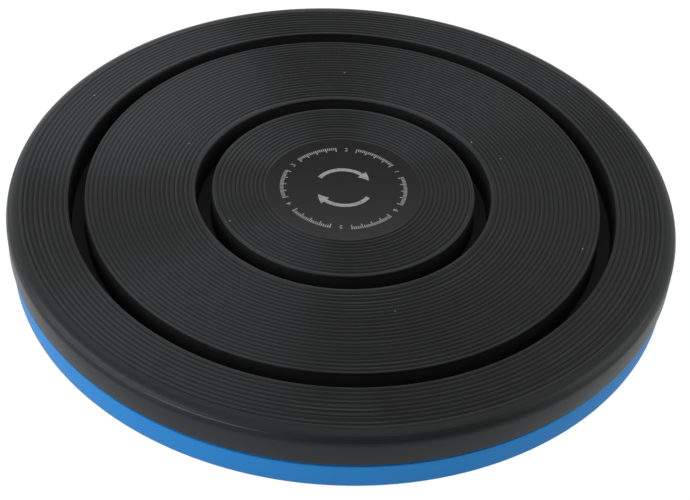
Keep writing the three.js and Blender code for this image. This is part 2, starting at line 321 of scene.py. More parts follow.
class Network:
    """A node tree that expressions are written into."""

    def __init__(self, tree):
        self.tree = tree

    def node(self, kind, settings=None, inputs=None, output=0):
        """Adds a node with its settings and then its inputs, and gives back one of its outputs."""
        made = self.tree.nodes.new(kind)
        for name, value in (settings or {}).items():
            setattr(made, name, value)
        for name, value in (inputs or {}).items():
            self.put(made.inputs[name], value)
        return Socket(self, made.outputs[output]) if made.outputs else None

    def put(self, socket, value):
        """Links a socket to another one, or sets it to a plain value."""
        if isinstance(value, Socket):
            self.tree.links.new(value.out, socket)
        else:
            socket.default_value = value

    def mix(self, share, low, high):
        """The colour low where the share is 0, and high where it is 1."""
        return self.node("ShaderNodeMix", {"data_type": "RGBA"}, {0: share, 6: low, 7: high}, 2)

    def ramp(self, value, low, high):
        """0 below low, 1 above high, and a smooth step between them."""
        smooth = {"interpolation_type": "SMOOTHSTEP"}
        return self.node("ShaderNodeMapRange", smooth, {0: value, 1: low, 2: high})

    def between(self, value, low, high):
        """1 where a value lies between low and high, and 0 elsewhere."""
        return (value > low) * (value < high)

    def near(self, axes, place, reach):
        """1 at a place seen from above, falling smoothly to 0 at this distance from it."""
        x, y = axes[0] - place[0], axes[1] - place[1]
        return self.ramp(x * x + y * y, reach ** 2, 0)

    def own_place(self):
        """A point's place on its piece, in metres, and the same place as three numbers."""
        place = self.node("ShaderNodeTexCoord", output="Object")
        return place, [self.node("ShaderNodeSeparateXYZ", None, {0: place}, axis) for axis in range(3)]


class Finish(Network):
    """A material with one Principled shader. Its patterns read the piece's own place, in metres."""

    def __init__(self, name, **uniform):
        self.material = bpy.data.materials.new(name)
        self.material.use_nodes = True
        super().__init__(self.material.node_tree)
        self.shader = self.tree.nodes["Principled BSDF"]
        self.place, self.axes = self.own_place()
        self.surface({name.replace("_", " ").title().replace("Ior", "IOR"): value
                      for name, value in uniform.items()})

    def surface(self, values):
        """Sets or links the shader's own sockets."""
        for name, value in values.items():
            self.put(self.shader.inputs[name], value)

    def noise(self, size, detail=2.0, along=None):
        """Soft noise from 0 to 1 with patches of about this size in metres."""
        inputs = {"Vector": along or self.place, "Scale": 1 / size, "Detail": detail}
        return self.node("ShaderNodeTexNoise", None, inputs)

    def relief(self, height, depth, strength=1.0):
        """Lets the light see a height from 0 to 1 as relief of this depth in metres."""
        inputs = {"Strength": strength, "Distance": depth, "Height": height}
        self.surface({"Normal": self.node("ShaderNodeBump", None, inputs)})

    def fan(self, angle, half):
        """1 on a line out from the axis at an angle, falling smoothly to 0 at a half opening from it.

        On the line, the squared distance along it is the squared distance from the axis. At the fan's
        edge it is that times the squared cosine of the half opening.
        """
        x, y, _ = self.axes
        along = x * math.cos(angle) + y * math.sin(angle)
        square = x * x + y * y
        return self.ramp(along * along, square * math.cos(half) ** 2, square) * (along > 0)


def grey(level, cool=0.0):
    """A grey as a colour with alpha. Cool lifts the blue and drops the red by this share."""
    return level * (1 - cool), level, level * (1 + cool), 1.0


print("a cool mid grey:", grey(0.5, 0.1))

# %% [markdown]
# ## The black tread's plastic
#
# The top is moulded in black ABS. A plain dark grey would look like a hole in the picture. What makes
# it read as plastic is how its shine and its grey vary: a fine mould grain, broad patches where the
# melt cooled at different speeds, and a few specks of dust. Light and shade are painted into the grey
# as well: a painted sheen on the left side and in three faint lighter fans that open out from the
# middle, painted shade in the beds of the grooves, which also hold rougher plastic, and painted
# highlights in thin lighter lines scattered along the crests. The smooth middle has none of these and
# is a little darker, painted shade. The outermost crest and a short stretch of the mould's seam carry
# painted highlights. The rim is smoother than the tread and painted a lighter grey, and its wall
# lighter and cooler still, a painted reflection of the pale floor. Each mask reads the place of a
# point on the piece.

# %% Black plastic
tread_low, tread_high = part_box("top_plate")
tread_height, disc_radius = tread_high.z, tread_high.x
crest_depth = 0.3e-3
channel_dark = 0.8e-3
rim_start = 120.7e-3
outer_glint_ring = (119.1e-3, 120e-3)
wall_start, wall_full = 22.5e-3, 20.5e-3
seam_height, seam_line = 23.74e-3, 0.13e-3
seam_glint_place, seam_glint_reach = (-40.7e-3, -118.2e-3), 25e-3
sheen_place, sheen_reach = (-98e-3, 58e-3), 75e-3
patch_size, glint_patch_size, grain_size = 45e-3, 24e-3, 0.5e-3
fan_angles = [math.radians(57), math.radians(140), math.radians(237)]
fan_half = math.radians(34)
smooth_radius = 29.4e-3
ring_size = 0.7e-3
speck_spacing = 30e-3
speck_size, speck_share = 0.32e-3, 0.4
# Several of these greys are painted light and shade, as the mixes below say.
bed_shade_grey, crest_grey, patch_grey = grey(0.001, 0.02), grey(0.005, 0.04), grey(0.006, 0.08)
fan_sheen_grey, left_sheen_grey, glint_streak_grey = grey(0.021, 0.06), grey(0.034, 0.1), grey(0.022, 0.05)
shaded_middle_grey, outer_glint_grey, channel_grey = grey(0.001), grey(0.015, 0.05), grey(0.0065)
lit_rim_grey, wall_reflection_grey = grey(0.0125, 0.05), grey(0.021, 0.15)
seam_glint_grey, speck_grey = grey(0.06), grey(0.25)


def black_plastic():
    """Mixes one grey after another over the last, each where its own mask is above 0."""
    black = Finish("black_plastic", specular_ior_level=0.17)
    x, y, z = black.axes
    square = x * x + y * y
    tread = square < rim_start ** 2
    crest = black.ramp(z, tread_height - crest_depth, tread_height - crest_depth / 4)
    open_air = black.ramp(z, tread_height - channel_dark * 2, tread_height - channel_dark)
    patches = black.noise(patch_size, 1)
    grain = black.noise(grain_size)
    # Painted shade: the beds of the grooves are a darker grey than the crests.
    tread_tone_and_light = black.mix(crest, bed_shade_grey, crest_grey)
    tread_tone_and_light = black.mix(patches * 0.5, tread_tone_and_light, patch_grey)
    # Painted sheen: three faint lighter fans open out from the middle, stronger on the crests.
    fans = sum(black.fan(angle, fan_half) for angle in fan_angles)
    tread_tone_and_light = black.mix(fans * (crest * 0.7 + 0.3), tread_tone_and_light, fan_sheen_grey)
    # Painted sheen: a cool lighter patch on the left side of the tread, towards the back.
    left_sheen = black.near(black.axes, sheen_place, sheen_reach) * (patches * 0.6 + 0.4)
    tread_tone_and_light = black.mix(left_sheen, tread_tone_and_light, left_sheen_grey)
    # Painted highlights: thin lighter lines along the crests, scattered at random in rings and patches.
    rings = {"W": square.maths("SQRT", square), "Scale": 1 / ring_size}
    ring = black.node("ShaderNodeTexNoise", {"noise_dimensions": "1D"}, rings)
    glint_streaks = black.ramp(ring, 0.5, 0.68) * black.ramp(black.noise(glint_patch_size), 0.35, 0.6)
    tread_tone_and_light = black.mix(glint_streaks * crest, tread_tone_and_light, glint_streak_grey)
    # Painted shade: the smooth middle is a darker grey, with none of the marks above.
    tread_tone_and_light = black.mix(square < smooth_radius ** 2, tread_tone_and_light, shaded_middle_grey)
    # Painted highlight: the outermost crest is lighter.
    outer_crest_glint = black.between(square, outer_glint_ring[0] ** 2, outer_glint_ring[1] ** 2)
    tread_tone_and_light = black.mix(outer_crest_glint * crest, tread_tone_and_light, outer_glint_grey)
    tread_tone_and_light = black.mix(open_air, channel_grey, tread_tone_and_light)
    # Painted light: the rim is a lighter grey than the tread, and its wall lighter and cooler still, a
    # painted reflection of the pale floor.
    rim = black.mix(black.ramp(z, wall_start, wall_full), lit_rim_grey, wall_reflection_grey)
    # Painted highlight: a short stretch of the mould's seam at the front left is lighter.
    seam = black.between(z, seam_height - seam_line, seam_height + seam_line)
    rim = black.mix(seam * black.near(black.axes, seam_glint_place, seam_glint_reach), rim, seam_glint_grey)
    cell = {"voronoi_dimensions": "2D"}
    spread = {"Vector": black.place, "Scale": 1 / speck_spacing}
    distance = black.node("ShaderNodeTexVoronoi", cell, spread)
    colour = black.node("ShaderNodeTexVoronoi", cell, spread, 1)
    lot = black.node("ShaderNodeSeparateColor", None, {0: colour})
    speck = (distance < speck_size / speck_spacing) * (lot > 1 - speck_share) * crest
    shade = black.mix(tread, rim, tread_tone_and_light)
    black.surface({
        "Base Color": black.mix(speck, shade, speck_grey),
        "Roughness": grain * 0.1 + patches * 0.12 + (1 - crest) * tread * 0.2 + tread * 0.08 + 0.22,
    })
    black.relief(grain, 0.02e-3)
    return black.material


black_abs = black_plastic()
print("tread height", round(1000 * tread_height, 2), "mm, disc radius", round(1000 * disc_radius, 2), "mm")

# %% [markdown]
# ## The blue base's plastic
#
# The base is the same kind of plastic with a blue pigment. Its wall is plain, so the grain and a very
# slight drift of the colour are all that it needs. The recipe is a function, because the rubber and
# the nylon follow it too.

# %% Blue plastic
def moulded(name, low, high, drift, grain, rough, depth, **uniform):
    """A colour that drifts from low to high in soft patches, under a fine grain of this depth.

    Roughness = grain times the first number + patches times the second + the third.
    """
    made = Finish(name, **uniform)
    patches, fine = made.noise(*drift), made.noise(grain)
    made.surface({
        "Base Color": made.mix(patches, low, high),
        "Roughness": fine * rough[0] + patches * rough[1] + rough[2],
    })
    made.relief(fine, depth)
    return made.material


blue_abs = moulded(
    "blue_plastic", (0.02, 0.2, 0.525, 1), (0.023, 0.215, 0.55, 1), drift=(60e-3, 1), grain=0.6e-3,
    rough=(0.08, 0.1, 0.36), depth=0.02e-3, specular_ior_level=0.12,
)
print("blue finish:", len(blue_abs.node_tree.nodes), "nodes")

# %% [markdown]
# ## The other finishes
#
# Rubber, nylon, ink and three metals are left. Each has a grain of its own size: rubber is matt and
# slightly mottled, nylon is milky, a bearing ball is polished with hairline marks, zinc plate is
# cloudy with a faint tint, and brass shows the turning marks of the lathe that cut it.

# %% Rubber, nylon and ink
black_rubber = moulded(
    "black_rubber", grey(0.010), grey(0.018), drift=(5e-3, 3), grain=0.25e-3,
    rough=(0.1, 0, 0.8), depth=0.05e-3, specular_ior_level=0.3,
)
white_nylon = moulded(
    "white_nylon", (0.76, 0.74, 0.67, 1), (0.82, 0.8, 0.74, 1), drift=(8e-3, 3), grain=0.4e-3,
    rough=(0.12, 0, 0.45), depth=0.02e-3, subsurface_weight=0.15, subsurface_scale=1e-3,
)


def ink():
    """Grey ink that is a little darker in the spots where wear has thinned it."""
    made = Finish("grey_ink", specular_ior_level=0.2)
    wear = made.ramp(made.noise(1.2e-3, 4), 0.28, 0.5)
    made.surface({
        "Base Color": made.mix(wear, grey(0.14), grey(0.29)),
        "Roughness": wear * -0.1 + 0.7,
    })
    made.relief(wear, 0.01e-3)
    return made.material


grey_ink = ink()
print("soft finishes:", black_rubber.name, white_nylon.name, grey_ink.name)


# %% Metals
def metal(name, low, high, cloud_size, polish, marks, squash):
    """A bare metal. Its fine marks are noise squashed along one axis, so that they run in lines."""
    made = Finish(name, metallic=1.0)
    cloud = made.noise(cloud_size, 3)
    stretch = made.node("ShaderNodeVectorMath", {"operation": "MULTIPLY"}, {0: made.place, 1: squash})
    lines = made.noise(marks, 3, along=stretch)
    made.surface({
        "Base Color": made.mix(cloud, low, high),
        "Roughness": cloud * 0.08 + lines * 0.12 + polish,
    })
    made.relief(lines, 0.004e-3)
    return made.material


ball_steel = metal("ball_steel", grey(0.72, 0.02), grey(0.8, 0.01), 2e-3, 0.03, 0.4e-3, (1, 1, 0.2))
zinc_steel = metal("zinc_steel", (0.58, 0.62, 0.68, 1), (0.7, 0.69, 0.66, 1), 3e-3, 0.22, 0.3e-3, (1, 1, 3))
brass = metal("brass", (0.7, 0.49, 0.18, 1), (0.78, 0.58, 0.26, 1), 3e-3, 0.2, 0.25e-3, (0.1, 0.1, 4))
print("metals:", ball_steel.name, zinc_steel.name, brass.name)

# %% [markdown]
# ## The tread plate
#
# One moulding makes the whole top: three ribbed standing zones, two deep ring channels, the rounded
# rim, the skirt, and underneath the walls of the channels, the ball track, the boss for the screw and
# the stiffening ribs. The fine grooves could be painted on with a bump pattern, but real grooves
# catch the light on their slopes from every side, so they are modelled. Each is a shallow wave in the
# outline, which falls away softly from the crest, is steepest half way down and flat at its bed.

# %% Grooves and channels
groove_depth = 0.33e-3
groove_points = 8
groove_zones = [(30.55e-3, 1.676e-3, 11), (58.2e-3, 1.745e-3, 22), (104.1e-3, 1.82e-3, 10)]
print_sink = 0.05e-3

channel_depth = 11.75e-3
channel_draft = 0.25e-3
channel_lip = 0.5e-3
channel_margin = 0.6e-3
channel_corner = 0.8e-3
inner_channel = (49.375e-3, 55.525e-3)
outer_channel = (96.3e-3, 102.3e-3)


def grooves(first, pitch, count, end):
    """A wave as far as a last radius: height = -depth (1 + cos(pi t)) / 2.

    The number t runs from -1 to 1 across a groove, which is one pitch wide.
    """
    t = np.linspace(-1, 1, groove_points, endpoint=False)
    radius = first + pitch * (np.arange(count)[:, None] + t / 2)
    height = np.tile(-groove_depth * (1 + np.cos(math.pi * t)) / 2, count)
    wave = np.stack([radius.ravel(), height], axis=1)
    return wave[wave[:, 0] < end]


def channel(inner, outer):
    """A deep channel with rounded lips, a little draft and rounded corners at its bed."""
    corners = rounded([
        (inner - channel_margin, 0, 0),
        (inner, 0, channel_lip),
        (inner + channel_draft, -channel_depth, channel_corner),
        (outer - channel_draft, -channel_depth, channel_corner),
        (outer, 0, channel_lip),
        (outer + channel_margin, 0, 0),
    ])
    return corners[1:-1]


zone_ends = (inner_channel[0] - channel_margin, outer_channel[0] - channel_margin, rim_start - channel_lip)
tread_zones = [grooves(*zone, end) for zone, end in zip(groove_zones, zone_ends)]
print("grooves:", sum(count for _, _, count in groove_zones))

# %% Tread plate's outline
shell_height = 12.6e-3
shoulder_drop = 0.1e-3
rim_rounding = 4.1e-3
seam_proud = 0.09e-3
seam_angle, seam_half = math.radians(40), math.radians(3.5)
seam_foot_share = 1.5
rim_steps = 12
skirt_rounding = 0.4e-3
skirt_wall = 2.4e-3
tread_wall = 2.5e-3
channel_wall = 1.9e-3
channel_bed_wall = 2e-3
skirt_inside = disc_radius - skirt_wall
under_tread = tread_height - tread_wall
inner_walls = (inner_channel[0] - channel_wall, inner_channel[1] + channel_wall)
outer_walls = (outer_channel[0] - channel_wall, outer_channel[1] + channel_wall)
inside_rounding = 0.6e-3

ball_low, ball_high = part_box("ball_01")
ball_radius = (ball_high.z - ball_low.z) / 2
ball_height = (ball_high.z + ball_low.z) / 2
track_radius = (ball_high.x + ball_low.x) / 2
track_clearance = 0.15e-3
track_depth = 1.55e-3
track_steps = 10

insert_low, insert_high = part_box("threaded_insert")
spigot_end = tread_low.z
spigot_radius = 5e-3
boss_radius = 8.5e-3
boss_shoulder = 10.6e-3
hole_spare = 1e-3
hole_gap = 0.15e-3


def track(side):
    """The arc of a ball track across the track's radius: side 1 lies over the balls and -1 under them.

    With reach = ball radius + clearance, the arc is reach sin a across and reach cos a up or down.
    """
    reach = ball_radius + track_clearance
    half = math.acos((reach - track_depth) / reach)
    angle = np.linspace(-half, half, track_steps + 1)
    across, up = reach * np.sin(angle), side * reach * np.cos(angle)
    return np.stack([track_radius + across, ball_height + up], axis=1)


def tread_top():
    """From the middle of the tread out over the rim and down to the skirt's foot.

    The rim is an arc of radius reach, which is a little more where the mould's seam stands proud.
    """
    edges = seam_angle + seam_half * np.array([seam_foot_share, 1, -1, -seam_foot_share])
    angle = np.sort(np.concatenate([np.linspace(0, math.pi / 2, rim_steps + 1), edges]))[::-1]
    reach = rim_rounding + seam_proud * (np.abs(angle - seam_angle) < seam_half * (1 + seam_foot_share) / 2)
    rim = np.stack([
        disc_radius - rim_rounding + reach * np.cos(angle),
        -shoulder_drop - rim_rounding + reach * np.sin(angle),
    ], axis=1)
    foot = rounded([
        (disc_radius, -rim_rounding * 2, 0),
        (disc_radius, -shell_height, skirt_rounding),
        (skirt_inside, -shell_height, skirt_rounding),
        (skirt_inside, -tread_wall, 0),
    ])
    middle = [(0, -print_sink), (smooth_radius, -print_sink), (smooth_radius + print_sink * 3, 0)]
    parts = [
        middle,
        tread_zones[0], channel(*inner_channel),
        tread_zones[1], channel(*outer_channel),
        tread_zones[2], rim, foot[1:-1],
    ]
    return np.concatenate(parts) + (0, tread_height)


def tread_underside():
    """From the skirt's inside in to the boss, with the channels' outer walls and the ball track."""
    land = ball_height + ball_radius + track_clearance - track_depth
    bed = tread_height - channel_depth - channel_bed_wall
    outside = rounded([
        (skirt_inside, tread_height - shell_height / 2, 0),
        (skirt_inside, under_tread, inside_rounding),
        (outer_walls[1], under_tread, inside_rounding),
        (outer_walls[1], land, skirt_rounding),
        (track(1)[-1][0], land, 0),
    ])
    between = rounded([
        (track(1)[0][0], land, 0),
        (outer_walls[0], land, skirt_rounding),
        (outer_walls[0], under_tread, inside_rounding),
        (inner_walls[1], under_tread, inside_rounding),
        (inner_walls[1], bed, skirt_rounding),
        (inner_walls[0], bed, skirt_rounding),
        (inner_walls[0], under_tread, inside_rounding),
        (boss_radius, under_tread, inside_rounding),
        (boss_radius, boss_shoulder, skirt_rounding),
        (spigot_radius, boss_shoulder, 0),
        (spigot_radius, spigot_end, skirt_rounding),
        (insert_high.x + hole_gap, spigot_end, 0),
        (insert_high.x + hole_gap, insert_high.z + hole_spare, 0),
        (0, insert_high.z + hole_spare, 0),
    ])
    return np.concatenate([outside, track(1)[::-1], between])


tread_outline = np.concatenate([tread_top(), tread_underside()])
print("outline points of the tread plate:", len(tread_outline))

# %% [markdown]
# The stiffening ribs under the tread are thin straight walls with a little draft, thicker at their
# root than at their foot, so that the part comes out of its mould. They run into the round walls on
# both ends, and the join makes one solid of them.

# %% Tread plate
tread_sides = 192
rib_count, inner_rib_count = 12, 6
rib_root = 1.6e-3
rib_foot = 1.2e-3
rib_bury = 0.8e-3
rib_drop = 5e-3


def rib(inner, outer, root_height, foot_height, angle):
    """A radial wall between two radii, wide at its root and narrow at its foot."""
    across = np.array([rib_root, rib_root, rib_foot, rib_foot]) / 2 * (-1, 1, 1, -1)
    up = [root_height, root_height, foot_height, foot_height]
    sections = [np.stack([np.full(4, radius), across, up], axis=1) for radius in (inner, outer)]
    return moved(swept(np.array(sections)), angle=angle)


def ribs(inner, outer, root_height, foot_height, count, shift_share=0.0):
    """Ribs at equal angles round the axis, which run a little into the walls at both ends."""
    return together([rib(inner - rib_bury, outer + rib_bury, root_height, foot_height, angle)
                     for angle in ring_angles(count, shift_share)])


rib_span = (under_tread + rib_bury, under_tread - rib_drop)
tread_ribs = [
    ribs(boss_radius, inner_walls[0], *rib_span, inner_rib_count),
    ribs(inner_walls[1], outer_walls[0], *rib_span, rib_count),
    ribs(outer_walls[1], skirt_inside, *rib_span, rib_count, 0.5),
]
tread_mesh = carved("tread_moulding", turned(tread_outline, tread_sides), added=tread_ribs)
piece("tread_moulding", tread_mesh, "turntable", black_abs, ["top_plate"])

# %% [markdown]
# ## The base plate
#
# The base is an open tray. Its wall shows as the blue band, and a lip stands up inside the black
# skirt to keep dust out. The dark line between black and blue is the ledge outside that lip, which lies
# in the shade and shows through the gap under the skirt. Inside are the lower ball track, a hub for the
# pivot, and ribs. Its underside, which shows when the disc is picked up, has six sunk panels and six
# round seats for the feet. A panel is a rounded rectangle bent into a sector of a ring, so that the
# spokes between two panels keep one width from the middle to the edge.

# %% Base plate's outline
base_low, base_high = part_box("base_plate")
bush_low, bush_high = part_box("pivot_bush")
base_radius = base_high.x
base_bottom = base_low.z
base_wall_height = 9.8e-3
base_rim = base_bottom + base_wall_height
base_edge = 0.35e-3
base_bevel = 0.9e-3
base_thickness = 3e-3
base_floor = base_bottom + base_thickness
lip_gap = 0.7e-3
lip_radius = skirt_inside - lip_gap
lip_wall = 1.8e-3
land_half = 6e-3
well_radius = 13e-3
hub_radius = 15.4e-3
bush_radius = 6.35e-3
web_under = 6.8e-3
web_top = 9.2e-3


def base_outline():
    """The closed outline of the tray, from the well's mouth out, up, in over the track and to the hub."""
    land = ball_height - ball_radius - track_clearance + track_depth
    outer_track, inner_track = track(-1)[-1][0], track(-1)[0][0]
    outside = rounded([
        (well_radius, base_bottom, 0),
        (base_radius, base_bottom, base_bevel),
        (base_radius, base_rim, base_edge),
        (lip_radius, base_rim, inside_rounding / 2),
        (lip_radius, base_high.z, base_edge),
        (lip_radius - lip_wall, base_high.z, base_edge),
        (lip_radius - lip_wall, base_floor, inside_rounding),
        (track_radius + land_half, base_floor, inside_rounding),
        (track_radius + land_half, land, base_edge),
        (outer_track, land, 0),
    ])
    inside = rounded([
        (inner_track, land, 0),
        (track_radius - land_half, land, base_edge),
        (track_radius - land_half, base_floor, inside_rounding),
        (hub_radius, base_floor, inside_rounding),
        (hub_radius, web_top, base_edge),
        (bush_radius + hole_gap, web_top, 0),
        (bush_radius + hole_gap, web_under, 0),
        (well_radius, web_under, inside_rounding),
        (well_radius, base_bottom, 0),
    ])
    return np.concatenate([outside, track(-1)[::-1], inside[:-1]])


base_skin = turned(base_outline(), tread_sides, closed=True)
print("base plate's skin:", len(base_skin[1]), "triangles before its ribs and panels")

# %% Base plate
foot_low, foot_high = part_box("foot_1")
foot_radius = (foot_high.x - foot_low.x) / 2
foot_height = foot_high.z
foot_count = 6
foot_gap = 0.3e-3
seat_sides = 64
base_rib_rise = 3e-3
panel_depth = 1e-3
panel_margin = 6e-3
panel_inner = hub_radius + panel_margin
panel_outer = track_radius - foot_radius - panel_margin
panel_corner = 5e-3
panel_fillet = 0.7e-3
panel_points, panel_corner_steps, panel_fillet_points = 220, 12, 5
spoke_width = 7e-3
cut_overrun = 1e-3


def bent_panel(inset):
    """A rounded rectangle, drawn in by an inset, bent so that x goes round the ring and y goes out.

    Its half angle at a radius is half the pitch less half a spoke's width over that radius.
    """
    height = panel_outer - panel_inner
    middle = (panel_inner + panel_outer) / 2
    real_half = middle * math.pi / foot_count - spoke_width / 2
    box = rounded_box(-real_half, real_half, 0, height, panel_corner, panel_corner_steps)
    ring = np.concatenate([box, box[:1]])
    length = np.concatenate([[0], np.cumsum(np.linalg.norm(np.diff(ring, axis=0), axis=1))])
    along = np.linspace(0, length[-1], panel_points, endpoint=False)
    x, y = np.interp(along, length, ring[:, 0]), np.interp(along, length, ring[:, 1])
    radius = panel_inner + inset + y * (1 - 2 * inset / height)
    half = math.pi / foot_count - (spoke_width / 2 + inset) / radius
    angle = x / real_half * half
    return np.stack([radius * np.cos(angle), radius * np.sin(angle)], axis=1)


def panel_cutter(angle):
    """The panel as a shallow solid: straight at its mouth and rounded into its bed."""
    turn = np.linspace(0, math.pi / 2, panel_fillet_points)
    insets = np.concatenate([[0], panel_fillet * (1 - np.cos(turn))])
    rises = np.concatenate([[-cut_overrun], panel_depth - panel_fillet * (1 - np.sin(turn))])
    layers = [(bent_panel(inset), base_bottom + rise) for inset, rise in zip(insets, rises)]
    return moved(layered(layers), angle=angle)


def on_track(shape, angle, height=0.0):
    """A skin moved out to the ball track: x = radius cos a, y = radius sin a."""
    return moved(shape, track_radius * math.cos(angle), track_radius * math.sin(angle), height)


def seat_cutter(angle):
    """A round seat for a foot, open at the bottom."""
    radius, top = foot_radius + foot_gap, foot_height + foot_gap
    outline = [(0, base_bottom - cut_overrun), (radius, base_bottom - cut_overrun), (radius, top), (0, top)]
    return on_track(turned(outline, seat_sides), angle)


base_rib_span = (base_floor - rib_bury, base_floor + base_rib_rise)
base_ribs = [
    ribs(hub_radius, track_radius - land_half, *base_rib_span, rib_count),
    ribs(track_radius + land_half, lip_radius - lip_wall, *base_rib_span, rib_count, 0.5),
]
panels = together([panel_cutter(angle) for angle in ring_angles(foot_count, 0.5)])
seats = together([seat_cutter(angle) for angle in ring_angles(foot_count)])
base_mesh = carved("base_moulding", base_skin, added=base_ribs, removed=[panels, seats])
piece("base_moulding", base_mesh, "base", blue_abs, ["base_plate"])

# %% [markdown]
# ## The feet
#
# Six moulded rubber pads sit in the seats and hold the disc still while the top turns. Ring grooves
# in the sole let the rubber bend and grip. Each is turned from one outline, and its place round the
# base is a matter of an angle.

# %% Feet
foot_rounding = 0.35e-3
sole_rounding = foot_rounding * 1.4
foot_groove = 0.3e-3
foot_rings = np.array([2.2e-3, 4e-3, 5.8e-3])
foot_groove_half = 0.35e-3


def foot_outline():
    """The sole with its ring grooves, the rounded side and the flat top."""
    across = np.array([-foot_groove_half, -foot_groove_half / 2, foot_groove_half / 2, foot_groove_half])
    radius = (foot_rings[:, None] + across).ravel()
    height = np.tile([0, foot_groove, foot_groove, 0], len(foot_rings))
    side = rounded([
        (foot_rings[-1] + foot_groove_half, 0, 0),
        (foot_radius, 0, sole_rounding),
        (foot_radius, foot_height, foot_rounding),
        (0, foot_height, 0),
    ])
    return np.concatenate([[(0, 0)], np.stack([radius, height], axis=1), side[1:]])


for foot, angle in enumerate(ring_angles(foot_count), 1):
    pad = on_track(turned(foot_outline(), seat_sides), angle)
    piece(f"foot_pad_{foot}", pad, "base", black_rubber, [f"foot_{foot}"])

# %% [markdown]
# ## Balls and cage
#
# The balls carry the person's weight, and the nylon cage keeps them apart and turns at half the
# top's speed. A ball could be an icosphere, but a half circle turned about the axis is the same
# helper again. Each ball rides on its own body, because each one rolls.

# %% Balls and cage
ball_count = 24
ball_steps = 24
ball_sides = 48
cage_low, cage_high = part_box("ball_cage")
cage_width = 12e-3
cage_rounding = 0.4e-3
pocket_gap = 0.25e-3
pocket_sides = 40

meridian = np.linspace(-math.pi / 2, math.pi / 2, ball_steps + 1)
ball_outline = ball_radius * np.stack([np.cos(meridian), np.sin(meridian)], axis=1)
ball_outline[[0, -1], 0] = 0
ball_skin = turned(ball_outline, ball_sides)
ball_angles = ring_angles(ball_count)
for ball, angle in enumerate(ball_angles, 1):
    name = f"ball_{ball:02d}"
    moved_ball = on_track(ball_skin, angle, ball_height)
    piece(f"bearing_{name}", moved_ball, name, ball_steel, [name])

cage_outline = rounded_box(cage_high.x - cage_width, cage_high.x, cage_low.z, cage_high.z, cage_rounding)
pocket_radius = ball_radius + pocket_gap
pocket_mouth = pocket_radius + cage_rounding
pocket = turned(rounded([
    (0, cage_low.z - cut_overrun, 0),
    (pocket_mouth, cage_low.z - cut_overrun, 0),
    (pocket_mouth, cage_low.z, 0),
    (pocket_radius, cage_low.z + cage_rounding, 0),
    (pocket_radius, cage_high.z - cage_rounding, 0),
    (pocket_mouth, cage_high.z, 0),
    (pocket_mouth, cage_high.z + cut_overrun, 0),
    (0, cage_high.z + cut_overrun, 0),
]), pocket_sides)
pockets = together([on_track(pocket, angle) for angle in ball_angles])
cage_mesh = carved("cage_ring", turned(cage_outline, tread_sides, closed=True), removed=[pockets])
piece("cage_ring", cage_mesh, "cage", white_nylon, ["ball_cage"])

# %% [markdown]
# ## The pivot
#
# A flanged nylon bush in the base guides the tread's spigot. A screw from below pulls a wide flat
# washer against the spigot's end, a split washer keeps it from working loose, and a knurled brass
# insert gives the thread something better than plastic to bite into. They sit deep in the well.

# %% Bush and washers
small_sides = 96
small_rounding = 0.15e-3
spigot_gap = 0.15e-3
bush_bore = spigot_radius + spigot_gap
bush_flange = 1e-3
flat_low, flat_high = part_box("flat_washer")
lock_low, lock_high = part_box("lock_washer")
washer_bore = 2.8e-3
lock_split = 0.8e-3
lock_steps = 96

bush_shape = turned(rounded([
    (bush_bore, bush_low.z, small_rounding),
    (bush_radius, bush_low.z, small_rounding * 2),
    (bush_radius, bush_high.z - bush_flange, 0),
    (bush_high.x, bush_high.z - bush_flange, small_rounding),
    (bush_high.x, bush_high.z, small_rounding * 2),
    (bush_bore, bush_high.z, small_rounding),
], closed=True), small_sides, closed=True)
piece("bush_sleeve", bush_shape, "base", white_nylon, ["pivot_bush"])

flat_shape = turned(rounded([
    (washer_bore, flat_low.z, small_rounding),
    (flat_high.x, flat_low.z, small_rounding * 2),
    (flat_high.x, flat_high.z, small_rounding),
    (washer_bore, flat_high.z, small_rounding),
], closed=True), small_sides, closed=True)
piece("washer_flat", flat_shape, "turntable", zinc_steel, ["flat_washer"])


def split_washer():
    """A rounded square section carried round the screw, from one side of the split to the other.

    The split is cut on a slant: the upper half of the section starts a little later than the lower.
    """
    radius, height = rounded_box(washer_bore, lock_high.x, lock_low.z, lock_high.z, small_rounding).T
    middle = (washer_bore + lock_high.x) / 2
    half = lock_split / 2 / middle
    slant = (height - lock_low.z) / (lock_high.z - lock_low.z) * half
    angle = np.linspace(half, 2 * math.pi - half * 2, lock_steps)[:, None] + slant
    return swept(around(radius, angle, height))


piece("washer_split", split_washer(), "turntable", zinc_steel, ["lock_washer"])

# %% [markdown]
# The screw is one grid. Its outline gives a radius for each height, and along the shank the radius
# also depends on the angle: the thread's crest moves up by one pitch in a full turn, so it follows
# the share (height / pitch - angle / full turn), wrapped to one pitch. The cross-shaped drive is cut
# with two tapered blocks. The insert's knurl is the same idea with two crossing sets of lines.

# %% Screw and insert
screw_low, screw_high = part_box("centre_screw")
head_radius = screw_high.x
head_height = 2.4e-3
head_top = screw_low.z + head_height
shank_radius = 2.5e-3
tip_share = 0.4
thread_pitch = 0.8e-3
thread_depth = 0.42e-3
thread_rows = 150
head_dome = 0.9e-3
drive_half = 2.3e-3
drive_thick = 0.5e-3
drive_depth = 1.3e-3
drive_taper_share = 0.35
thread_gap = 0.1e-3
insert_rows = 70
knurl_depth = 0.2e-3
knurl_count = 28
knurl_middle_shares, knurl_half_share = (0.25, 0.75), 0.2
waist_half_share = 0.05


